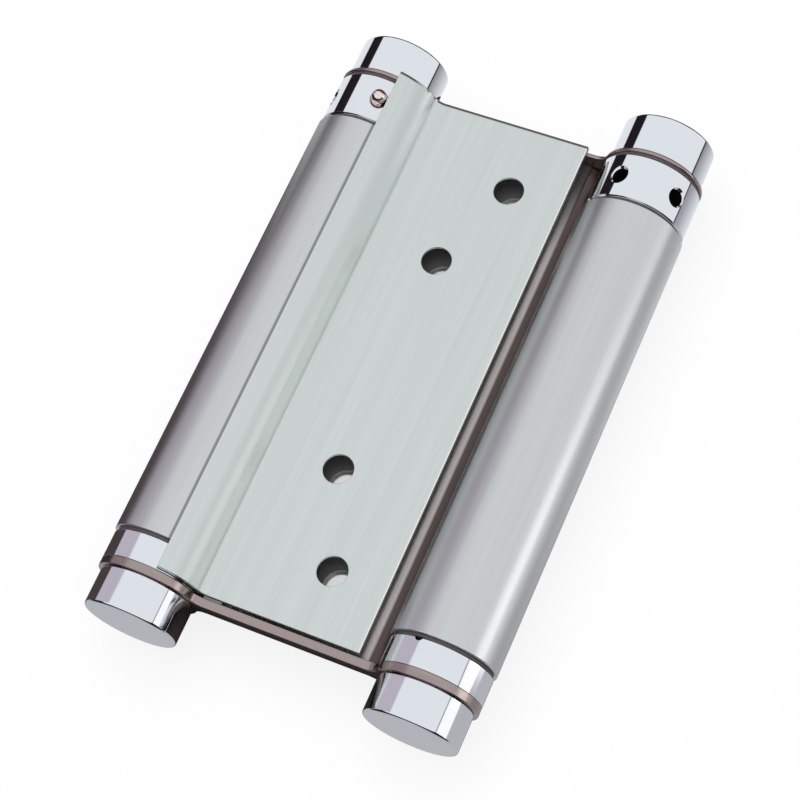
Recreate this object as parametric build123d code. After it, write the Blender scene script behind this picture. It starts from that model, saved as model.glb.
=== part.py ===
from build123d import *
import os
from math import asin, cos, degrees, radians, sin, sqrt

# Double action spring hinge: two barrels joined by a link plate at each end, with a leaf on each barrel.
# It is drawn upright: barrels along Z, Z zero half way up, the front towards -Y, the left barrel at -X.
# Each piece of the left barrel is drawn once, and half a turn about Z makes the right barrel's.
# At the end the whole hinge is laid on its back, as it rests on a table. Sizes are in millimetres.

# Barrels
barrel_spacing = 52.0
barrel_diameter = 19.0
barrel_wall = 1.0
barrel_seam = 0.2
barrel_seam_angle = 55.0

# Leaves: each shuts against the link waists, stands on the lower link and laps over the upper link's edge
leaf_height = 101.6
leaf_sheet = 1.0
leaf_stop_gap = 0.2
leaf_bottom_gap = 0.3
leaf_top_lap = 1.3
leaf_edge_to_barrel = 3.0
leaf_bend_radius = 2.2
leaf_shoulder_angle = 20.0
leaf_weld_gap = 0.02

# Screw holes in a leaf, level about the middle of the hinge, countersunk on the face hidden when it is shut
hole_diameter = 5.4
countersink_diameter = 6.4
countersink_depth = 0.5
outer_pair_inset = 10.1
outer_pair_spacing = 77.0
inner_pair_inset = 16.8
inner_pair_spacing = 42.5

# Link plates, with eyes as large as the collars
lower_link_thickness = 1.6
upper_link_thickness = 0.8
link_waist = 3.4
link_fillet_gap = 0.6

# Caps, smaller than the barrels by the same step all round
cap_step = 1.0
lower_cap_height = 7.0
upper_cap_height = 7.8
cap_edge_radius = 0.5
cap_bore_depth = 5.2

# Spindles
spindle_diameter = 5.0
spindle_chamfer = 0.4
spindle_end_gap = 0.3
spindle_clearance = 0.05
thread_clearance = 0.02

# Collars, smaller than the barrels by the same step all round
collar_step = 0.3
collar_chamfer = 0.3
anchor_collar_height = 5.1
adjusting_collar_height = 9.0
spigot_length = 8.0
spigot_clearance = 0.05
anchor_square = 8.0
anchor_square_clearance = 0.05
index_notch_diameter = 1.6
index_notch_angle = 162.0

# Tommy holes and tension pins
tommy_hole_count = 5
tommy_hole_diameter = 3.0
tommy_hole_depth = 4.6
tommy_mouth_chamfer = 0.35
pin_diameter = 2.8
pin_proud = 2.4
pin_shoulder_gap = 0.05
pin_bottom_gap = 0.1

# Washers
washer_thickness = 0.5
washer_recess = 0.35
washer_clearance = 0.1
axial_float = 0.05

# Torsion springs
spring_wire = 2.4
spring_turns = 20
spring_bend_swell = 0.05
spring_end_gap = 0.3
spring_tang_length = 4.0
spring_tang_angle = 90.0
tang_hole_clearance = 0.1

# Places that follow from these sizes
barrel_radius = barrel_diameter / 2
bore_radius = barrel_radius - barrel_wall
collar_radius = barrel_radius - collar_step
cap_radius = barrel_radius - cap_step
spindle_radius = spindle_diameter / 2
spindle_bore_radius = spindle_radius + spindle_clearance
spigot_radius = bore_radius - spigot_clearance
link_inner = (leaf_height + leaf_bottom_gap - leaf_top_lap) / 2
lower_link_face = -link_inner - lower_link_thickness
upper_link_face = link_inner + upper_link_thickness
link_fillet = leaf_bend_radius + leaf_sheet - link_fillet_gap
anchor_collar_top = -link_inner + anchor_collar_height
tube_bottom = anchor_collar_top + washer_thickness
adjusting_collar_top = link_inner - washer_thickness - axial_float
adjusting_collar_bottom = adjusting_collar_top - adjusting_collar_height
tube_top = adjusting_collar_bottom - washer_thickness - axial_float
anchor_spigot_top = anchor_collar_top + spigot_length
adjusting_spigot_bottom = adjusting_collar_bottom - spigot_length
tommy_level = (adjusting_collar_top + adjusting_collar_bottom) / 2
coil_radius = (bore_radius + spindle_radius) / 2
curl_inner = barrel_radius + leaf_weld_gap
curl_outer = curl_inner + leaf_sheet
leaf_back = -link_waist / 2 - leaf_stop_gap
leaf_front = leaf_back - leaf_sheet
leaf_edge = barrel_spacing / 2 - barrel_radius - leaf_edge_to_barrel
pin_radius = pin_diameter / 2
pin_angle = leaf_shoulder_angle - degrees(asin((pin_radius + pin_shoulder_gap) / curl_inner))
pin_tip = collar_radius + pin_proud
pin_reach = (pin_tip - pin_radius) * cos(radians(pin_angle)) + pin_radius
curl_reach = curl_outer * cos(radians(leaf_shoulder_angle))
rest_height = max(pin_reach, curl_reach, barrel_radius)


def at_left(shape):
    """Moves a shape drawn about the Z axis to the left barrel's axis."""
    return Pos(-barrel_spacing / 2, 0, 0) * shape


def half_turn(shape):
    """Turns a left barrel's piece into the right barrel's."""
    return Rot(0, 0, 180) * shape


def round_bar(radius, bottom, top):
    """A solid round bar on the Z axis between two levels."""
    return Pos(0, 0, bottom) * Cylinder(radius, top - bottom, align=(Align.CENTER, Align.CENTER, Align.MIN))


def ring(outer, inner, bottom, top):
    """A plain ring on the Z axis between two levels."""
    return round_bar(outer, bottom, top) - round_bar(inner, bottom, top)


def from_front(angle, radius):
    """The point at an angle from the front line, turned towards +X, at a radius from the Z axis."""
    return Vector(radius * sin(radians(angle)), -radius * cos(radians(angle)))


def radial_bar(radius, start, end, angle, level):
    """A round bar that lies along a radius of the barrel, at an angle from the front line."""
    bar = Cylinder(radius, end - start, align=(Align.CENTER, Align.CENTER, Align.MIN))
    return Rot(0, 0, angle) * (Pos(0, -start, level) * (Rot(90, 0, 0) * bar))


def barrel_tube():
    """Rolled sheet tube with its butt seam under the leaf's curl."""
    tube = ring(barrel_radius, bore_radius, tube_bottom, tube_top)
    seam = Box(barrel_seam, 2 * barrel_wall, leaf_height)
    seam_middle = Pos(0, -(barrel_radius + bore_radius) / 2, 0) * seam
    return tube - Rot(0, 0, barrel_seam_angle) * seam_middle


def leaf_outline():
    """Section of the leaf: flat, a bend towards the front, and the curl round the barrel to the shoulder."""
    axis = Vector(-barrel_spacing / 2, 0)
    bend_y = leaf_front - leaf_bend_radius
    bend_x = sqrt((curl_outer + leaf_bend_radius) ** 2 - bend_y ** 2)
    bend = axis + Vector(bend_x, bend_y)
    towards_bend = (bend - axis).normalized()
    towards_barrel = towards_bend * -1
    shoulder = from_front(leaf_shoulder_angle, 1)
    mid_curl = (towards_bend + shoulder).normalized()
    mid_bend = (towards_barrel + Vector(0, 1)).normalized()
    back_bend_radius = leaf_bend_radius + leaf_sheet
    front_path = [
        Line((leaf_edge, leaf_front), (bend.X, leaf_front)),
        ThreePointArc((bend.X, leaf_front), bend + mid_bend * leaf_bend_radius,
                      axis + towards_bend * curl_outer),
        ThreePointArc(axis + towards_bend * curl_outer, axis + mid_curl * curl_outer,
                      axis + shoulder * curl_outer),
    ]
    back_path = [
        ThreePointArc(axis + shoulder * curl_inner, axis + mid_curl * curl_inner,
                      axis + towards_bend * curl_inner),
        ThreePointArc(axis + towards_bend * curl_inner, bend + mid_bend * back_bend_radius,
                      (bend.X, leaf_back)),
        Line((bend.X, leaf_back), (leaf_edge, leaf_back)),
    ]
    shoulder_edge = Line(axis + shoulder * curl_outer, axis + shoulder * curl_inner)
    free_edge = Line((leaf_edge, leaf_back), (leaf_edge, leaf_front))
    return make_face(Wire(front_path + [shoulder_edge] + back_path + [free_edge]))


def screw_hole(x, z):
    """Plain hole through the leaf, countersunk from its back face."""
    through = Cylinder(hole_diameter / 2, 4 * leaf_sheet)
    sink = Cone(hole_diameter / 2, countersink_diameter / 2, countersink_depth,
                align=(Align.CENTER, Align.CENTER, Align.MAX))
    middle = Pos(x, (leaf_front + leaf_back) / 2, z) * (Rot(-90, 0, 0) * through)
    return middle + Pos(x, leaf_back, z) * (Rot(-90, 0, 0) * sink)


def leaf():
    """Leaf pressed from one sheet, with an outer and an inner pair of screw holes."""
    sheet = Pos(0, 0, leaf_bottom_gap - link_inner) * extrude(leaf_outline(), leaf_height)
    for inset, spacing in ((outer_pair_inset, outer_pair_spacing), (inner_pair_inset, inner_pair_spacing)):
        for z in (-spacing / 2, spacing / 2):
            sheet -= screw_hole(leaf_edge - inset, z)
    return sheet


def link_outline():
    """Two round eyes on a narrow waist, with a fillet in each corner between them."""
    eye = Circle(collar_radius)
    outline = Pos(-barrel_spacing / 2, 0) * eye + Pos(barrel_spacing / 2, 0) * eye
    outline += Rectangle(barrel_spacing, link_waist)
    corners = [v for v in outline.vertices() if abs(abs(v.Y) - link_waist / 2) < 0.001]
    return fillet(corners, link_fillet)


def link_plate(holes, bottom, thickness):
    """A link plate from its lower face, with the same hole cut in both eyes."""
    plate = Pos(0, 0, bottom) * extrude(link_outline(), thickness)
    return plate - at_left(holes) - half_turn(at_left(holes))


def lower_link_plate():
    """Lower link, with a square hole in each eye that holds the anchor collar."""
    side = anchor_square + 2 * anchor_square_clearance
    hole = Pos(0, 0, lower_link_face + lower_link_thickness / 2) * Box(side, side, 2 * lower_link_thickness)
    return link_plate(hole, lower_link_face, lower_link_thickness)


def upper_link_plate():
    """Upper link, with a round hole in each eye for the spindle."""
    hole = round_bar(spindle_bore_radius, link_inner, upper_link_face)
    return link_plate(hole, link_inner, upper_link_thickness)


def cap(height):
    """A turned knob on Z zero, rounded at its outer edge, with a blind bore for the spindle."""
    body = round_bar(cap_radius, 0, height)
    outer_rim = body.edges().filter_by(GeomType.CIRCLE).sort_by(Axis.Z)[-1]
    body = fillet(outer_rim, cap_edge_radius)
    return body - round_bar(spindle_radius + thread_clearance, 0, cap_bore_depth)


def upper_cap():
    """Cap on the upper link."""
    return Pos(0, 0, upper_link_face) * cap(upper_cap_height)


def lower_cap():
    """Cap under the lower link."""
    return Pos(0, 0, lower_link_face) * (Rot(180, 0, 0) * cap(lower_cap_height))


def spindle():
    """Through rod with a chamfered, screwed end inside each cap."""
    reach = cap_bore_depth - spindle_end_gap
    rod = round_bar(spindle_radius, lower_link_face - reach, upper_link_face + reach)
    return chamfer(rod.edges().filter_by(GeomType.CIRCLE), spindle_chamfer)


def tang_hole(bottom, top):
    """Hole along the barrel that takes one straight end of the spring."""
    place = from_front(spring_tang_angle, coil_radius)
    return Pos(place.X, place.Y, 0) * round_bar(spring_wire / 2 + tang_hole_clearance, bottom, top)


def anchor_collar():
    """Fixed lower collar: square boss in the link, flange, and spigot that the tube turns on."""
    flange = round_bar(collar_radius, -link_inner, anchor_collar_top)
    flange = chamfer(flange.edges().filter_by(GeomType.CIRCLE).sort_by(Axis.Z)[-1], collar_chamfer)
    boss = Pos(0, 0, -link_inner) * Box(anchor_square, anchor_square, lower_link_thickness,
                                        align=(Align.CENTER, Align.CENTER, Align.MAX))
    spigot = round_bar(spigot_radius, anchor_collar_top, anchor_spigot_top)
    body = flange + boss + spigot
    body -= round_bar(spindle_bore_radius, lower_link_face, anchor_spigot_top)
    body -= tang_hole(anchor_spigot_top - spring_tang_length - tang_hole_clearance, anchor_spigot_top)
    notch_radius = index_notch_diameter / 2
    return body - radial_bar(notch_radius, spigot_radius, barrel_radius, index_notch_angle, anchor_collar_top)


def tommy_hole(angle):
    """Blind radial hole for a tommy bar, with a chamfered mouth."""
    hole_radius = tommy_hole_diameter / 2
    start = collar_radius - tommy_mouth_chamfer
    length = barrel_radius - start
    mouth = Cone(hole_radius, hole_radius + length, length, align=(Align.CENTER, Align.CENTER, Align.MIN))
    chamfered = Rot(0, 0, angle) * (Pos(0, -start, tommy_level) * (Rot(90, 0, 0) * mouth))
    return chamfered + radial_bar(hole_radius, collar_radius - tommy_hole_depth, barrel_radius, angle, tommy_level)


def adjusting_collar():
    """Upper collar with radial tommy holes in its flange, and a spigot down inside the tube."""
    flange = round_bar(collar_radius, adjusting_collar_bottom, adjusting_collar_top)
    flange = chamfer(flange.edges().filter_by(GeomType.CIRCLE), collar_chamfer)
    body = flange + round_bar(spigot_radius, adjusting_spigot_bottom, adjusting_collar_bottom)
    body -= round_bar(spindle_bore_radius, adjusting_spigot_bottom, adjusting_collar_top)
    body -= tang_hole(adjusting_spigot_bottom, adjusting_spigot_bottom + spring_tang_length + tang_hole_clearance)
    for index in range(tommy_hole_count):
        body -= tommy_hole(pin_angle + index * 360 / tommy_hole_count)
    return body


def tension_pin():
    """Round-ended pin in the collar hole next to the leaf's shoulder."""
    start = collar_radius - tommy_hole_depth + pin_bottom_gap
    shank = radial_bar(pin_radius, start, pin_tip - pin_radius, pin_angle, tommy_level)
    place = from_front(pin_angle, pin_tip - pin_radius)
    return shank + Pos(place.X, place.Y, tommy_level) * Sphere(pin_radius)


def tube_washer(bottom):
    """Thin dark washer between an end of the tube and its collar."""
    return ring(collar_radius - washer_recess, spigot_radius + washer_clearance, bottom, bottom + washer_thickness)


def end_washer():
    """Washer between the adjusting collar and the upper link."""
    bottom = link_inner - washer_thickness
    return ring(collar_radius - washer_recess, spindle_radius + washer_clearance, bottom, link_inner)


def torsion_spring():
    """Round wire coil, swollen a little where the wire turns into a straight end in each collar's spigot."""
    wire_radius = spring_wire / 2
    bottom = anchor_spigot_top + spring_end_gap + wire_radius
    top = adjusting_spigot_bottom - spring_end_gap - wire_radius
    path = Helix((top - bottom) / spring_turns, top - bottom, coil_radius)
    section = Plane(path @ 0, z_dir=path % 0) * Circle(wire_radius)
    coil = Pos(0, 0, bottom) * sweep(section, path=path, is_frenet=True)
    place = from_front(spring_tang_angle, coil_radius)
    for level, end in ((bottom, anchor_spigot_top - spring_tang_length),
                       (top, adjusting_spigot_bottom + spring_tang_length)):
        coil += Pos(place.X, place.Y, level) * Sphere(wire_radius + spring_bend_swell)
        coil += Pos(place.X, place.Y, 0) * round_bar(wire_radius, min(level, end), max(level, end))
    return coil


def lay_on_back(shape):
    """Lays the upright hinge on its back: the front up, the barrels along Y, its lowest point at Z zero."""
    return Pos(0, 0, rest_height) * (Rot(-90, 0, 0) * shape)


barrel_pieces = {
    "barrel_tube": barrel_tube(),
    "spindle": spindle(),
    "anchor_collar": anchor_collar(),
    "adjusting_collar": adjusting_collar(),
    "tension_pin": tension_pin(),
    "torsion_spring": torsion_spring(),
    "lower_cap": lower_cap(),
    "upper_cap": upper_cap(),
    "lower_tube_washer": tube_washer(anchor_collar_top),
    "upper_tube_washer": tube_washer(tube_top),
    "end_washer": end_washer(),
}

pieces = {
    "front_leaf": leaf(),
    "back_leaf": half_turn(leaf()),
    "lower_link_plate": lower_link_plate(),
    "upper_link_plate": upper_link_plate(),
}
for name, piece in barrel_pieces.items():
    pieces["left_" + name] = at_left(piece)
    pieces["right_" + name] = half_turn(at_left(piece))

os.makedirs("parts", exist_ok=True)
for name, piece in pieces.items():
    export_step(lay_on_back(piece), f"parts/{name}.step")
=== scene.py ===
import math

import bmesh
import bpy
from mathutils import Matrix, Vector


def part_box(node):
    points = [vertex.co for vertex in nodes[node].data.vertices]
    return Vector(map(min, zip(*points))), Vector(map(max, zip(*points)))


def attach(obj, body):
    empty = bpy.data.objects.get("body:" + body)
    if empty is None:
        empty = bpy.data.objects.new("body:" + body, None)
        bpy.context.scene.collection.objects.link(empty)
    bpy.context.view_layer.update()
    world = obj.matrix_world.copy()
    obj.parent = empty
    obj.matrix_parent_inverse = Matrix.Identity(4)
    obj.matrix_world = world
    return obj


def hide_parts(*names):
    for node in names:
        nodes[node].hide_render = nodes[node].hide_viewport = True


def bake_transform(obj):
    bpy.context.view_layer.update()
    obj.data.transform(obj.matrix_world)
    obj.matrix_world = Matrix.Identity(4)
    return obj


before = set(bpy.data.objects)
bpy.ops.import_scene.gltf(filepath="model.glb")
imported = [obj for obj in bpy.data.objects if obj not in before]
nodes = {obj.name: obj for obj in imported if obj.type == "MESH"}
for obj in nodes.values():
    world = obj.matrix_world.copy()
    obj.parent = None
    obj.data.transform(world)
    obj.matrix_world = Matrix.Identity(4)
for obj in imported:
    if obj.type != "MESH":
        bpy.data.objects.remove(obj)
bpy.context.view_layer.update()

# Spindles
# A spindle is a drawn steel rod that runs right through each barrel, zinc plated and buffed lengthwise, with a
# short thread at both ends for the caps.
sides = ("left", "right")
rod_colour = (0.74, 0.71, 0.68)


def new_material(name, roughness, metallic):
    """A material and its shader, with the two values that are the same all over."""
    material = bpy.data.materials.new(name)
    material.use_nodes = True
    shader = material.node_tree.nodes["Principled BSDF"]
    shader.inputs["Metallic"].default_value = metallic
    shader.inputs["Roughness"].default_value = roughness
    return material, shader


def add_node(tree, kind, **settings):
    """A node of a tree, with its properties set."""
    node = tree.nodes.new(kind)
    for key, value in settings.items():
        setattr(node, key, value)
    return node


def grain(tree, stretch, size, detail=4.0):
    """Noise on the piece's own coordinates, drawn out along the way that the metal was worked."""
    place = add_node(tree, "ShaderNodeTexCoord")
    drawn = add_node(tree, "ShaderNodeMapping")
    noise = add_node(tree, "ShaderNodeTexNoise")
    drawn.inputs["Scale"].default_value = stretch
    noise.inputs["Scale"].default_value = size
    noise.inputs["Detail"].default_value = detail
    tree.links.new(place.outputs["Object"], drawn.inputs["Vector"])
    tree.links.new(drawn.outputs["Vector"], noise.inputs["Vector"])
    return noise.outputs["Fac"]


def between(tree, source, low, high, start=0.3, end=0.7):
    """A number that goes from low to high as the source goes from start to end."""
    spread = add_node(tree, "ShaderNodeMapRange")
    for socket, value in (("From Min", start), ("From Max", end), ("To Min", low), ("To Max", high)):
        spread.inputs[socket].default_value = value
    tree.links.new(source, spread.inputs["Value"])
    return spread.outputs["Result"]


def two_tones(tree, share, dark, light):
    """A colour between two tones of one finish."""
    mix = add_node(tree, "ShaderNodeMix", data_type="RGBA")
    mix.inputs["A"].default_value = (*dark, 1.0)
    mix.inputs["B"].default_value = (*light, 1.0)
    tree.links.new(share, mix.inputs["Factor"])
    return mix.outputs["Result"]


def raised(tree, shader, height, depth):
    """Fine relief of a given depth, in metres."""
    bump = add_node(tree, "ShaderNodeBump")
    bump.inputs["Distance"].default_value = depth
    tree.links.new(height, bump.inputs["Height"])
    tree.links.new(bump.outputs["Normal"], shader.inputs["Normal"])


def brushed_metal(name, colour, roughness, along="y", tone=0.05, spread=0.025, depth=1.2e-6):
    """Metal brushed along one axis: streaks and wide faint bands in its tone and gloss, and fine scratches."""
    scratch_size, band_size, drawn_out = 2400.0, 260.0, 0.012
    material, shader = new_material(name, roughness, 1.0)
    tree = material.node_tree
    stretch = [1.0, 1.0, 1.0]
    stretch["xyz".index(along)] = drawn_out
    scratches = grain(tree, stretch, scratch_size)
    bands = grain(tree, stretch, band_size, detail=2.0)
    both = add_node(tree, "ShaderNodeMath", operation="ADD")
    tree.links.new(scratches, both.inputs[0])
    tree.links.new(bands, both.inputs[1])
    dark = [c * (1.0 - tone) for c in colour]
    light = [min(c * (1.0 + tone), 1.0) for c in colour]
    tree.links.new(two_tones(tree, between(tree, both.outputs[0], 0.0, 1.0, 0.7, 1.3), dark, light),
                   shader.inputs["Base Color"])
    tree.links.new(between(tree, bands, roughness - spread, roughness + spread), shader.inputs["Roughness"])
    raised(tree, shader, scratches, depth)
    return material


def finish_cad(material, slot, *names):
    """Gives CAD nodes whose shape is right their finish."""
    for name in names:
        nodes[name].data.materials.clear()
        nodes[name].data.materials.append(material)


plated_rod = brushed_metal("plated_rod", rod_colour, 0.22)
finish_cad(plated_rod, "plated_rod", *(side + "_spindle" for side in sides))

# Torsion springs
# Each is oil tempered wire, coiled close to the tube's bore. A straight end at the bottom stands in the fixed
# collar and one at the top in the turning collar, so winding that collar loads the spring.
wire_diameter = 0.0024
wire_colour = (0.25, 0.25, 0.27)
coil_turns = 20
coil_mean_radius = 0.0055
coil_end_gap = 0.0003
tang_length = 0.004
coil_steps = 40
wire_sides = 14
merge_distance = 1e-7


def tree_input(tree, name, kind):
    return tree.interface.new_socket(name=name, in_out="INPUT", socket_type=kind)


def wire_coil_tree():
    """Geometry Nodes for a coil along Y with a straight end past each end of the coil."""
    tree = bpy.data.node_groups.new("wire_coil", "GeometryNodeTree")
    for name in ("Bottom", "Top", "Turns", "Coil Radius", "Wire Radius", "Tang Length", "Start Angle"):
        tree_input(tree, name, "NodeSocketFloat")
    tree_input(tree, "Axis Place", "NodeSocketVector")
    tree_input(tree, "Finish", "NodeSocketMaterial")
    tree.interface.new_socket(name="Geometry", in_out="OUTPUT", socket_type="NodeSocketGeometry")
    link = tree.links.new
    given = add_node(tree, "NodeGroupInput").outputs

    def minus(a, b):
        node = add_node(tree, "ShaderNodeMath", operation="SUBTRACT")
        link(a, node.inputs[0])
        link(b, node.inputs[1])
        return node.outputs[0]

    def point(x, z):
        node = add_node(tree, "ShaderNodeCombineXYZ")
        link(x, node.inputs["X"])
        link(z, node.inputs["Z"])
        return node.outputs[0]

    length = minus(given["Top"], given["Bottom"])
    coil = add_node(tree, "GeometryNodeCurveSpiral")
    coil.inputs["Resolution"].default_value = coil_steps
    link(given["Turns"], coil.inputs["Rotations"])
    link(given["Coil Radius"], coil.inputs["Start Radius"])
    link(given["Coil Radius"], coil.inputs["End Radius"])
    link(length, coil.inputs["Height"])
    wire = add_node(tree, "GeometryNodeJoinGeometry")
    link(coil.outputs[0], wire.inputs[0])
    above = add_node(tree, "ShaderNodeMath", operation="ADD")
    link(length, above.inputs[0])
    link(given["Tang Length"], above.inputs[1])
    zero = add_node(tree, "ShaderNodeValue")
    zero.outputs[0].default_value = 0.0
    for start, end in ((zero.outputs[0], minus(zero.outputs[0], given["Tang Length"])), (length, above.outputs[0])):
        tang = add_node(tree, "GeometryNodeCurvePrimitiveLine")
        link(point(given["Coil Radius"], start), tang.inputs["Start"])
        link(point(given["Coil Radius"], end), tang.inputs["End"])
        link(tang.outputs[0], wire.inputs[0])
    section = add_node(tree, "GeometryNodeCurvePrimitiveCircle")
    section.inputs["Resolution"].default_value = wire_sides
    link(given["Wire Radius"], section.inputs["Radius"])
    skin = add_node(tree, "GeometryNodeCurveToMesh")
    skin.inputs["Fill Caps"].default_value = True
    link(wire.outputs[0], skin.inputs["Curve"])
    link(section.outputs[0], skin.inputs["Profile Curve"])
    turned = add_node(tree, "GeometryNodeTransform")
    link(skin.outputs[0], turned.inputs["Geometry"])
    spin = add_node(tree, "ShaderNodeCombineXYZ")
    link(given["Start Angle"], spin.inputs["Z"])
    link(spin.outputs[0], turned.inputs["Rotation"])
    laid = add_node(tree, "GeometryNodeTransform")
    laid.inputs["Rotation"].default_value = (math.radians(-90), 0, 0)
    link(turned.outputs[0], laid.inputs["Geometry"])
    link(given["Axis Place"], laid.inputs["Translation"])
    smooth = add_node(tree, "GeometryNodeSetShadeSmooth")
    real = add_node(tree, "GeometryNodeRealizeInstances")
    finish = add_node(tree, "GeometryNodeSetMaterial")
    link(laid.outputs[0], smooth.inputs["Geometry"])
    link(smooth.outputs[0], real.inputs[0])
    link(real.outputs[0], finish.inputs["Geometry"])
    link(given["Finish"], finish.inputs["Material"])
    link(finish.outputs[0], add_node(tree, "NodeGroupOutput").inputs[0])
    return tree


def grown(name, tree, **values):
    """A plain mesh object from a Geometry Nodes tree, with its faces turned outwards."""
    piece = bpy.data.objects.new(name, bpy.data.meshes.new(name))
    bpy.context.scene.collection.objects.link(piece)
    modifier = piece.modifiers.new(name, "NODES")
    modifier.node_group = tree
    for socket in tree.interface.items_tree:
        if socket.in_out == "INPUT":
            modifier[socket.identifier] = values[socket.name.replace(" ", "_").lower()]
    made = bpy.data.meshes.new_from_object(piece.evaluated_get(bpy.context.evaluated_depsgraph_get()))
    piece.modifiers.clear()
    piece.data = made
    shape = bmesh.new()
    shape.from_mesh(made)
    bmesh.ops.remove_doubles(shape, verts=shape.verts, dist=merge_distance)
    bmesh.ops.recalc_face_normals(shape, faces=shape.faces)
    shape.to_mesh(made)
    shape.free()
    return piece


def barrel_axis(side):
    """The barrel's axis as x and z, from the CAD tube."""
    low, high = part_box(side + "_barrel_tube")
    return (low[0] + high[0]) / 2, (low[2] + high[2]) / 2


spring_steel = brushed_metal("spring_steel", wire_colour, 0.34, tone=0.12)
coil_tree = wire_coil_tree()
for side, leaf_body, start_angle in (("left", "front_leaf", 0.0), ("right", "back_leaf", math.pi)):
    low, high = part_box(side + "_torsion_spring")
    axis_x, axis_z = barrel_axis(side)
    inset = tang_length + coil_end_gap + wire_diameter / 2
    spring = grown(side + "_spring_wire", coil_tree, bottom=low[1] + inset, top=high[1] - inset, turns=coil_turns,
                   coil_radius=coil_mean_radius, wire_radius=wire_diameter / 2, tang_length=inset,
                   start_angle=start_angle, axis_place=(axis_x, low[1] + inset, axis_z), finish=spring_steel)
    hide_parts(side + "_torsion_spring")
    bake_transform(spring)

# Collars
# Turned from bar, buffed and chrome plated. The lower ones are keyed into the link by a square boss, with a small
# notch that marks the zero. The upper ones turn, and have five tommy holes that the plating hardly enters. The
# insides of the notch and of the holes are painted near black, as painted shade.
collar_edge_round = 0.0001
chrome_colour = (0.84, 0.855, 0.885)
bore_shade_colour = (0.030, 0.024, 0.026)
flange_radius = 0.0092
flange_skin = 0.00005
tommy_bore_floor = 0.003
tommy_bore_mouth = 0.0089
tommy_bore_reach = 0.0017
tommy_wall_slope = 0.45
notch_angles = {"left": 162.0, "right": -18.0}
notch_half_angle = 6.5
notch_end = 0.00002
notch_reach = 0.0009


def plated_metal(name, colour, roughness):
    """Polished plate: a faint haze in its tone, and the slight waviness that buffing leaves under it."""
    haze_size, haze_tone, wave_size, wave_depth = 700.0, 0.985, 150.0, 1.5e-6
    material, shader = new_material(name, roughness, 1.0)
    tree = material.node_tree
    haze = grain(tree, (1, 1, 1), haze_size)
    waves = grain(tree, (1, 0.5, 1), wave_size, detail=1.0)
    dark = [c * haze_tone for c in colour]
    tree.links.new(two_tones(tree, haze, dark, colour), shader.inputs["Base Color"])
    tree.links.new(between(tree, haze, roughness * 0.7, roughness * 1.3), shader.inputs["Roughness"])
    raised(tree, shader, waves, wave_depth)
    return material


def smooth_over(mesh):
    """Smooth normals that follow the large faces at each corner, so that the narrow rounded edges don't tilt them."""
    large_enough = 0.4
    around = [[] for _ in mesh.vertices]
    for face in mesh.polygons:
        for corner in face.vertices:
            around[corner].append((face.area, face.normal))
    normals = []
    for faces in around:
        largest = max((area for area, _ in faces), default=0.0)
        total = Vector((0.0, 0.0, 0.0))
        for area, normal in faces:
            if area >= largest * large_enough:
                total += normal * area
        normals.append(total.normalized() if total.length > 0 else Vector((0.0, 0.0, 1.0)))
    mesh.shade_smooth()
    mesh.normals_split_custom_set_from_vertices(normals)


def finished_copy(node, name, edge_round, material, sharp=32.0):
    """A CAD node's shape with its sharp edges rounded by a small radius, as its finishing leaves them."""
    flat_angle, round_steps = 0.3, 2
    mesh = nodes[node].data.copy()
    mesh.materials.clear()
    mesh.materials.append(material)
    shape = bmesh.new()
    shape.from_mesh(mesh)
    bmesh.ops.remove_doubles(shape, verts=shape.verts, dist=merge_distance)
    bmesh.ops.dissolve_limit(shape, angle_limit=math.radians(flat_angle), verts=shape.verts, edges=shape.edges)
    shape.to_mesh(mesh)
    shape.free()
    piece = bpy.data.objects.new(name, mesh)
    bpy.context.scene.collection.objects.link(piece)
    rounding = piece.modifiers.new("rounded edges", "BEVEL")
    rounding.limit_method = "ANGLE"
    rounding.angle_limit = math.radians(sharp)
    rounding.width = edge_round
    rounding.segments = round_steps
    solid = bpy.data.meshes.new_from_object(piece.evaluated_get(bpy.context.evaluated_depsgraph_get()))
    piece.modifiers.clear()
    piece.data = solid
    smooth_over(solid)
    return piece


def paint(piece, material, chosen):
    """Gives the faces that are chosen by their middle and normal another finish."""
    piece.data.materials.append(material)
    last = len(piece.data.materials) - 1
    for face in piece.data.polygons:
        if chosen(face.center, face.normal):
            face.material_index = last


def add_piece(piece, node, body):
    """Stands a finished piece in for its CAD node."""
    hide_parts(node)
    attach(piece, body)


polished_chrome = plated_metal("polished_chrome", chrome_colour, 0.05)
dark_bore = brushed_metal("dark_bore", bore_shade_colour, 0.55, tone=0.3)
for side in sides:
    axis_x, axis_z = barrel_axis(side)
    collar = finished_copy(side + "_anchor_collar", side + "_fixed_collar", collar_edge_round, polished_chrome)
    collar_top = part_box(side + "_lower_tube_washer")[0][1]
    notch = math.radians(notch_angles[side])

    def in_notch(middle, normal):
        angle = math.atan2(middle.x - axis_x, middle.z - axis_z)
        off = abs(math.remainder(angle - notch, 2 * math.pi))
        return off < math.radians(notch_half_angle) and notch_end < collar_top - middle.y < notch_reach and (
            math.hypot(middle.x - axis_x, middle.z - axis_z) < flange_radius - flange_skin)

    # Painted shade: the inside of the notch is painted near black.
    paint(collar, dark_bore, in_notch)
    add_piece(collar, side + "_anchor_collar", "link_frame")

    collar = finished_copy(side + "_adjusting_collar", side + "_turning_collar", collar_edge_round, polished_chrome)
    flange_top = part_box(side + "_end_washer")[0][1]
    flange_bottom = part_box(side + "_upper_tube_washer")[1][1]
    hole_level = (flange_top + flange_bottom) / 2

    def in_tommy_hole(middle, normal):
        out = Vector((middle.x - axis_x, 0, middle.z - axis_z))
        return abs(middle.y - hole_level) < tommy_bore_reach and (
            tommy_bore_floor < out.length < tommy_bore_mouth) and (
            abs(normal.dot(out.normalized())) < tommy_wall_slope)

    # Painted shade: the walls of the tommy holes are painted near black.
    paint(collar, dark_bore, in_tommy_hole)
    add_piece(collar, side + "_adjusting_collar", side + "_adjuster")

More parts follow.
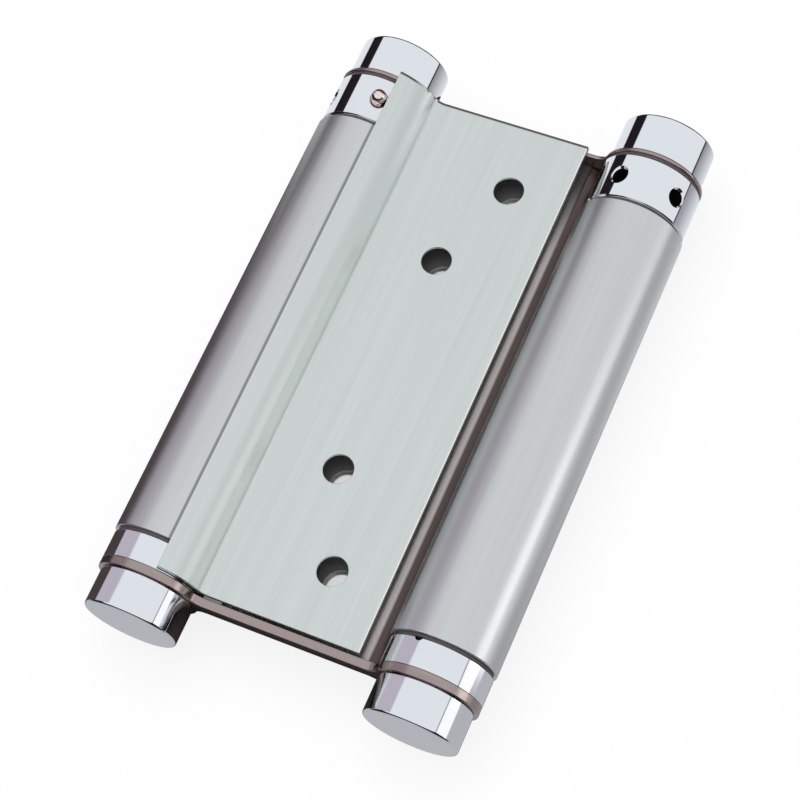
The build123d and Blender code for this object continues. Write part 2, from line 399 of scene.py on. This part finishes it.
# Tension pins
# A short piece of drawn rod with a rounded end, lightly plated, is pushed into the tommy hole next to the leaf's
# shoulder. The leaf bears on it, and so it holds the spring wound.
pin_colour = (0.92, 0.80, 0.76)
pin_steel = brushed_metal("pin_steel", pin_colour, 0.14)
finish_cad(pin_steel, "plated_rod", *(side + "_tension_pin" for side in sides))

# Washers
# Thin rings punched from dark nylon sheet. They lie loose on the spindle and the spigots, and keep the turning ends
# of the barrel apart.
nylon_dark, nylon_light = (0.060, 0.046, 0.050), (0.100, 0.080, 0.085)
mottle_size, mottle_depth = 900.0, 2e-6
dark_nylon, nylon_shader = new_material("dark_nylon", 0.5, 0.0)
nylon = dark_nylon.node_tree
nylon_mottle = grain(nylon, (1, 1, 1), mottle_size)
nylon.links.new(two_tones(nylon, nylon_mottle, nylon_dark, nylon_light), nylon_shader.inputs["Base Color"])
raised(nylon, nylon_shader, nylon_mottle, mottle_depth)
finish_cad(dark_nylon, "dark_nylon", *(f"{side}_{part}_washer" for side in sides
                                       for part in ("lower_tube", "upper_tube", "end")))

# Barrel tubes
# Each barrel is rolled from stainless sheet, with its butt seam under the leaf's curl, and brushed lengthwise. A
# narrow grey line is painted on the tube beside the edge of the leaf that is welded round it: weld heat, and
# painted shade along the seam.
tube_edge_round = 0.0002
tube_colour = (0.665, 0.68, 0.68)
sheet_inside = 0.0019
weld_heat_and_shade_line, weld_heat_and_shade_tone = (0.02260, 0.02270, 0.02310, 0.02330), (0.31, 0.305, 0.31)


def product(tree, first, second):
    """Two numbers of a tree, multiplied."""
    node = add_node(tree, "ShaderNodeMath", operation="MULTIPLY")
    tree.links.new(first, node.inputs[0])
    tree.links.new(second, node.inputs[1])
    return node.outputs[0]


def stripe(tree, place, begins, full, fades, ends):
    """One from full to fades, and nothing before it begins or past its end."""
    return product(tree, between(tree, place, 0.0, 1.0, begins, full), between(tree, place, 1.0, 0.0, fades, ends))


def leaf_places(tree):
    """How far a point of either leaf lies from the middle towards the bend, and how high along the leaf."""
    place = add_node(tree, "ShaderNodeTexCoord")
    spot = add_node(tree, "ShaderNodeSeparateXYZ")
    tree.links.new(place.outputs["Object"], spot.inputs["Vector"])
    middle_height = barrel_axis("left")[1]
    bend_way = between(tree, spot.outputs["Z"], 1.0, -1.0, middle_height - sheet_inside, middle_height + sheet_inside)
    return product(tree, bend_way, spot.outputs["X"]), spot.outputs["Y"]


def laid_over(tree, shader, share, colour):
    """Another tone over the one that the shader already has."""
    mix = add_node(tree, "ShaderNodeMix", data_type="RGBA")
    mix.inputs["B"].default_value = (*colour, 1.0)
    tree.links.new(share, mix.inputs["Factor"])
    tree.links.new(shader.inputs["Base Color"].links[0].from_socket, mix.inputs["A"])
    tree.links.new(mix.outputs["Result"], shader.inputs["Base Color"])


tube_steel = brushed_metal("tube_steel", tube_colour, 0.31)
tube_tree = tube_steel.node_tree
to_bend = leaf_places(tube_tree)[0]
# Weld heat and painted shade: a narrow grey line on the tube beside the leaf's welded edge.
laid_over(tube_tree, tube_tree.nodes["Principled BSDF"], stripe(tube_tree, to_bend, *weld_heat_and_shade_line), weld_heat_and_shade_tone)
for side, body in (("left", "front_leaf"), ("right", "back_leaf")):
    tube = finished_copy(side + "_barrel_tube", side + "_barrel", tube_edge_round, tube_steel)
    add_piece(tube, side + "_barrel_tube", body)

# Leaves
# Each leaf is one blank of stainless sheet, pierced and countersunk, then pressed round its barrel and welded along
# the curled edge. The outer face is brushed lengthwise, and the inner one keeps the smooth finish of the mill.
# Light and shade are painted on both faces: a painted highlight along the free edge, painted shade at the top end,
# stripes of painted shade and light along the outer bend, dark brown painted shade inside the curl and the inner
# bend, and a painted lit strip on the inner face near the bend, where light comes in through the gap.
leaf_edge_round = 0.00035
curl_reach = 0.0118
leaf_colour, end_edge_shade_colour, curl_shade_colour = (0.705, 0.745, 0.715), (0.20, 0.18, 0.165), (0.125, 0.090, 0.085)
leaf_steel = brushed_metal("leaf_steel", leaf_colour, 0.30)
sheared_edge = brushed_metal("sheared_edge", end_edge_shade_colour, 0.35, along="x")
curl_face = brushed_metal("curl_face", curl_shade_colour, 0.38, tone=0.15)
free_edge, free_edge_highlight_tone = (-0.01335, -0.01315), (0.98, 0.965, 0.90)
end_edge, end_band_shade_tone = (0.0006, 0.0004), (0.13, 0.115, 0.10)
flank_shade_band, flank_shade_tone = (0.0172, 0.0179, 0.0182, 0.0198), (0.58, 0.615, 0.59)
bend_line, bend_line_shade_tone = (0.0158, 0.0160, 0.0162, 0.01635), (0.64, 0.675, 0.65)
crease, crease_light_tone = (0.01635, 0.0166, 0.0171, 0.0174), (0.84, 0.885, 0.85)
leaf_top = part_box("front_leaf")[1][1]
outer = leaf_steel.node_tree
outer_shader = outer.nodes["Principled BSDF"]
to_bend, along_leaf = leaf_places(outer)
# Painted highlight: the outer face turns pale cream along the free edge.
laid_over(outer, outer_shader, between(outer, to_bend, 1.0, 0.0, *free_edge), free_edge_highlight_tone)
# Painted shade: the outer face darkens to near black in a thin band at the top end.
laid_over(outer, outer_shader, between(outer, along_leaf, 0.0, 1.0, *(leaf_top - d for d in end_edge)), end_band_shade_tone)
# Painted shade and light along the bend: darker stripes on the flank and the bend line, a lighter one on the crease.
for mark, tone in ((flank_shade_band, flank_shade_tone), (bend_line, bend_line_shade_tone), (crease, crease_light_tone)):
    laid_over(outer, outer_shader, stripe(outer, to_bend, *mark), tone)
mill_tone, mill_gloss, mill_metal = (0.79, 0.765, 0.755), 0.055, 0.85
gap_lit_from, gap_lit_to, gap_lit_gloss, gap_lit_metal = 0.0126, 0.0132, 0.34, 0.10
gap_lit_fade_from, gap_lit_fade_to, gap_lit_tone = 0.030, 0.046, (0.98, 0.90, 0.86)
bend_from, bend_to, bend_shade_tone = 0.0139, 0.0144, (0.10, 0.07, 0.065)
facing, facing_squarely, past_middle = 0.3, 0.98, 0.002
edge_depth = 0.001
mill_face = brushed_metal("mill_face", mill_tone, mill_gloss, spread=0.02, depth=4e-7)
mill = mill_face.node_tree
mill_shader = mill.nodes["Principled BSDF"]
to_bend, along_leaf = leaf_places(mill)
# Painted light and shade: a lighter, warmer, more matt strip near the bend where light comes in through the gap,
# fading out towards the top as painted shade of the upper link.
gap_lit = product(mill, between(mill, to_bend, 0.0, 1.0, gap_lit_from, gap_lit_to),
                 between(mill, along_leaf, 1.0, 0.0, gap_lit_fade_from, gap_lit_fade_to))
# Painted shade: the inner face turns dark brown at the bend.
at_bend = between(mill, to_bend, 0.0, 1.0, bend_from, bend_to)
mill.links.new(between(mill, gap_lit, mill_metal, gap_lit_metal, 0.0, 1.0), mill_shader.inputs["Metallic"])
mill.links.new(between(mill, gap_lit, mill_gloss, gap_lit_gloss, 0.0, 1.0), mill_shader.inputs["Roughness"])
inner_tone = add_node(mill, "ShaderNodeMix", data_type="RGBA")
inner_tone.inputs["B"].default_value = (*bend_shade_tone, 1.0)
mill.links.new(at_bend, inner_tone.inputs["Factor"])
mill.links.new(two_tones(mill, gap_lit, mill_tone, gap_lit_tone), inner_tone.inputs["A"])
mill.links.new(inner_tone.outputs["Result"], mill_shader.inputs["Base Color"])
for side, barrel, body, inwards in (("front", "left", "front_leaf", -1.0), ("back", "right", "back_leaf", 1.0)):
    leaf = finished_copy(side + "_leaf", side + "_leaf_sheet", leaf_edge_round, leaf_steel)
    axis_x, axis_z = barrel_axis(barrel)
    leaf_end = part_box(side + "_leaf")[1][1]

    def inside_curl(middle, normal):
        to_axis = Vector((axis_x - middle.x, 0, axis_z - middle.z))
        if to_axis.length < curl_reach:
            return normal.dot(to_axis.normalized()) > facing
        return normal.z * inwards > facing and abs(middle.x) > bend_to

    def on_inner_face(middle, normal):
        return normal.z * inwards > facing_squarely and abs(middle.x) < abs(axis_x) / 2 + past_middle

    def on_end_edge(middle, normal):
        return abs(normal.y) > facing and leaf_end - abs(middle.y) < edge_depth

    # Painted shade: the rounded edge at the top end is painted dark.
    paint(leaf, sheared_edge, on_end_edge)
    # Painted shade: dark brown inside the curl and on the inner face past the bend.
    paint(leaf, curl_face, inside_curl)
    paint(leaf, mill_face, on_inner_face)
    add_piece(leaf, side + "_leaf", body)

# Link plates
# One plate at each end joins the two barrels. They are blanked from thicker steel, tumbled and thinly plated, which
# leaves them warmer and duller than the rest.
link_edge_rounds = {"lower": 0.0004, "upper": 0.00026}
link_colour = (0.41, 0.335, 0.32)
link_finish = brushed_metal("link_finish", link_colour, 0.20, along="x", tone=0.08)
for end in ("lower", "upper"):
    link = finished_copy(end + "_link_plate", end + "_link", link_edge_rounds[end], link_finish)
    add_piece(link, end + "_link_plate", "link_frame")

# Caps
# Knobs turned from bar, buffed and chrome plated like the collars. They screw onto the spindle's ends and hold the
# barrel and the links together.
cap_edge_round = 0.0003
for side in sides:
    for end in ("lower", "upper"):
        cap = finished_copy(f"{side}_{end}_cap", f"{side}_{end}_knob", cap_edge_round, polished_chrome)
        add_piece(cap, f"{side}_{end}_cap", "link_frame")

# Table
# A sheet of white paper that the hinge lies on. It keeps only a light shadow, and a darker one between the barrels,
# where the leaves cover it.
paper_half = 3.0
paper_colour = (0.92, 0.92, 0.92)
paper_white_share = 0.86
covered_white_share = 0.10
covered_across, covered_along = (0.024, 0.029), (0.0470, 0.0484)
paper_mesh = bpy.data.meshes.new("table")
paper_mesh.from_pydata([(x * paper_half, y * paper_half, 0) for x, y in ((-1, -1), (1, -1), (1, 1), (-1, 1))], [],
                       [(0, 1, 2, 3)])
table = bpy.data.objects.new("table", paper_mesh)
bpy.context.scene.collection.objects.link(table)
paper = bpy.data.materials.new("paper")
paper.use_nodes = True
paper.node_tree.nodes.clear()
paper_link = paper.node_tree.links.new
matt = add_node(paper.node_tree, "ShaderNodeBsdfDiffuse")
matt.inputs["Color"].default_value = (*paper_colour, 1.0)
white = add_node(paper.node_tree, "ShaderNodeEmission")
ray = add_node(paper.node_tree, "ShaderNodeLightPath")
ground = add_node(paper.node_tree, "ShaderNodeSeparateXYZ")
paper_link(add_node(paper.node_tree, "ShaderNodeTexCoord").outputs["Object"], ground.inputs["Vector"])


def covered(distance, inside, outside):
    """One near the middle, and nothing past the barrels or the links."""
    size = add_node(paper.node_tree, "ShaderNodeMath", operation="ABSOLUTE")
    paper_link(distance, size.inputs[0])
    return between(paper.node_tree, size.outputs[0], 1.0, 0.0, inside, outside)


under_hinge = product(paper.node_tree, covered(ground.outputs["X"], *covered_across),
                      covered(ground.outputs["Y"], *covered_along))
whiteness = between(paper.node_tree, under_hinge, paper_white_share, covered_white_share, 0.0, 1.0)
share = product(paper.node_tree, ray.outputs["Is Camera Ray"], whiteness)
blend = add_node(paper.node_tree, "ShaderNodeMixShader")
paper_link(share, blend.inputs["Fac"])
paper_link(matt.outputs[0], blend.inputs[1])
paper_link(white.outputs[0], blend.inputs[2])
paper_link(blend.outputs[0], add_node(paper.node_tree, "ShaderNodeOutputMaterial").inputs["Surface"])
paper_mesh.materials.append(paper)
table.visible_glossy = False

# Shade
# The table under the hinge lies in its shadow. This dark card lies just over the paper, and stands for that ground
# in what the metal shows. Nothing else sees it.
shade_left, shade_right, shade_front, shade_back, shade_lift = -0.030, 0.024, -0.0588, 0.060, 0.0001
shade_colour = (0.05, 0.035, 0.035)
shade_mesh = bpy.data.meshes.new("shade")
shade_mesh.from_pydata([(shade_left, shade_front, shade_lift), (shade_right, shade_front, shade_lift),
                        (shade_right, shade_back, shade_lift), (shade_left, shade_back, shade_lift)], [],
                       [(0, 1, 2, 3)])
shade = bpy.data.objects.new("shade", shade_mesh)
bpy.context.scene.collection.objects.link(shade)
shade_tint, shade_shader = new_material("shade", 1.0, 0.0)
shade_shader.inputs["Base Color"].default_value = (*shade_colour, 1.0)
shade_mesh.materials.append(shade_tint)
shade.visible_camera = False
shade.visible_diffuse = False
shade.visible_shadow = False
shade.visible_transmission = False

# Lamp
# One wide round lamp with a soft cover hangs overhead. It lights the paper and makes the shadow, and the metal shows
# the studio instead.
lamp_width, lamp_power, lamp_place = 0.7, 3.0, (-0.12, 0.15, 0.8)
lamp_data = bpy.data.lights.new("lamp", "AREA")
lamp_data.shape = "DISK"
lamp_data.size = lamp_width
lamp_data.energy = lamp_power
lamp = bpy.data.objects.new("lamp", lamp_data)
lamp.location = lamp_place
lamp.rotation_euler = (-lamp.location).to_track_quat("-Z", "Y").to_euler()
lamp.visible_glossy = False
bpy.context.scene.collection.objects.link(lamp)

# Studio
# What the metal shows: a broad pale ceiling, a pale table, and darkness between them. It is deep on the left of the
# barrels and thin on their right. Each list gives the brightness from straight below (-1) to overhead (1).
black = (0.016, 0.012, 0.014)
brown = (0.070, 0.052, 0.054)
violet = (0.54, 0.49, 0.57)
mauve = (0.46, 0.415, 0.455)
grey = (0.50, 0.50, 0.53)
dim = (0.30, 0.30, 0.31)
pale = (0.86, 0.88, 0.91)
bright = (1.12, 1.12, 1.12)
left_low = ((-1.0, brown), (-0.02, brown), (0.02, violet), (0.64, violet), (0.70, pale), (1.0, pale))
left_middle = ((-1.0, brown), (0.04, brown), (0.10, mauve), (0.68, mauve), (0.76, pale), (1.0, pale))
left_high = ((-1.0, pale), (-0.15, pale), (-0.13, black), (0.34, black), (0.36, pale), (1.0, pale))
right_low = ((-1.0, grey), (-0.16, grey), (-0.10, bright), (0.36, bright), (0.375, dim), (0.40, dim), (0.415, pale),
             (1.0, pale))
right_high = ((-1.0, pale), (-0.5, grey), (-0.24, dim), (-0.225, black), (-0.175, black), (-0.16, pale), (1.0, pale))
nearside = ((-1.0, grey), (-0.40, grey), (-0.22, black), (0.40, black), (0.50, pale), (1.0, pale))
farside = ((-1.0, grey), (-0.7, grey), (-0.55, brown), (0.45, brown), (0.7, pale), (1.0, pale))
left_end_to_middle, left_middle_to_far = (0.255, 0.285), (0.405, 0.423)
right_end_to_far, left_to_right = (0.30, 0.38), (-0.25, 0.25)
front_to_sides, sides_to_back = (-0.12, 0.06), (0.64, 0.76)
window_glow = 1.9
window_height = (-0.45, -0.37, 0.20, 0.28)
window_depth = (0.235, 0.255, 0.285, 0.335)
window_side = (0.3, 0.6)
studio = bpy.data.worlds.new("studio")
bpy.context.scene.world = studio
studio.use_nodes = True
room = studio.node_tree
room.nodes.clear()


def shades(rise, stops):
    """Brightness and tint of one side of the room."""
    ramp = add_node(room, "ShaderNodeValToRGB").color_ramp
    while len(ramp.elements) < len(stops):
        ramp.elements.new(0.5)
    for element, (height, colour) in zip(ramp.elements, stops):
        element.position = (height + 1) / 2
        element.color = (*colour, 1.0)
    node = room.nodes[-1]
    room.links.new(rise, node.inputs["Fac"])
    return node.outputs["Color"]


def across_room(source, start, end, first, second):
    """Goes smoothly from the first side of the room to the second."""
    step = add_node(room, "ShaderNodeMapRange", interpolation_type="SMOOTHSTEP")
    step.inputs["From Min"].default_value = start
    step.inputs["From Max"].default_value = end
    room.links.new(source, step.inputs["Value"])
    mix = add_node(room, "ShaderNodeMix", data_type="RGBA")
    room.links.new(step.outputs["Result"], mix.inputs["Factor"])
    room.links.new(first, mix.inputs["A"])
    room.links.new(second, mix.inputs["B"])
    return mix.outputs["Result"]


look = add_node(room, "ShaderNodeTexCoord").outputs["Generated"]
ways = add_node(room, "ShaderNodeSeparateXYZ")
room.links.new(look, ways.inputs["Vector"])
eastwards, northwards, upwards = ways.outputs["X"], ways.outputs["Y"], ways.outputs["Z"]
rise = between(room, upwards, 0.0, 1.0, -1.0, 1.0)
left_lower = across_room(northwards, *left_end_to_middle, shades(rise, left_low), shades(rise, left_middle))
left_side = across_room(northwards, *left_middle_to_far, left_lower, shades(rise, left_high))
right_side = across_room(northwards, *right_end_to_far, shades(rise, right_low), shades(rise, right_high))
both_sides = across_room(eastwards, *left_to_right, left_side, right_side)
with_front = across_room(northwards, *front_to_sides, shades(rise, nearside), both_sides)
around = across_room(northwards, *sides_to_back, with_front, shades(rise, farside))
window = product(room, stripe(room, upwards, *window_height), stripe(room, northwards, *window_depth))
glow = product(room, window, between(room, eastwards, 0.0, 1.0, *window_side))
backdrop = add_node(room, "ShaderNodeBackground")
reflected = add_node(room, "ShaderNodeBackground")
room.links.new(around, reflected.inputs["Color"])
room.links.new(between(room, glow, 1.0, 1.0 + window_glow, 0.0, 1.0), reflected.inputs["Strength"])
seen = add_node(room, "ShaderNodeLightPath")
which = add_node(room, "ShaderNodeMixShader")
backdrop.inputs["Color"].default_value = (1, 1, 1, 1)
room.links.new(seen.outputs["Is Camera Ray"], which.inputs["Fac"])
room.links.new(reflected.outputs[0], which.inputs[1])
room.links.new(backdrop.outputs[0], which.inputs[2])
room.links.new(which.outputs[0], add_node(room, "ShaderNodeOutputWorld").inputs["Surface"])

# Camera
# It stands to the front and right of the hinge and well above it, with a long lens, and is tilted so that the
# barrels lean to the right.
camera_azimuth = 40.351
camera_elevation = 64.063
camera_tilt = -18.397
camera_lens = 102.67
camera_place = (0.11258, -0.13655, 0.36709)
azimuth, elevation, tilt = (math.radians(x) for x in (camera_azimuth, camera_elevation, camera_tilt))
towards_camera = Vector((math.sin(azimuth) * math.cos(elevation), -math.cos(azimuth) * math.cos(elevation),
                         math.sin(elevation)))
level = Vector((math.cos(azimuth), math.sin(azimuth), 0))
across = level * math.cos(tilt) + towards_camera.cross(level) * math.sin(tilt)
upright = towards_camera.cross(across)
camera_data = bpy.data.cameras.new("camera")
camera_data.lens = camera_lens
camera = bpy.data.objects.new("camera", camera_data)
turned = Matrix((across, upright, towards_camera)).transposed().to_4x4()
camera.matrix_world = Matrix.Translation(camera_place) @ turned
bpy.context.scene.collection.objects.link(camera)
bpy.context.scene.camera = camera
bpy.context.scene.view_settings.view_transform = "Standard"
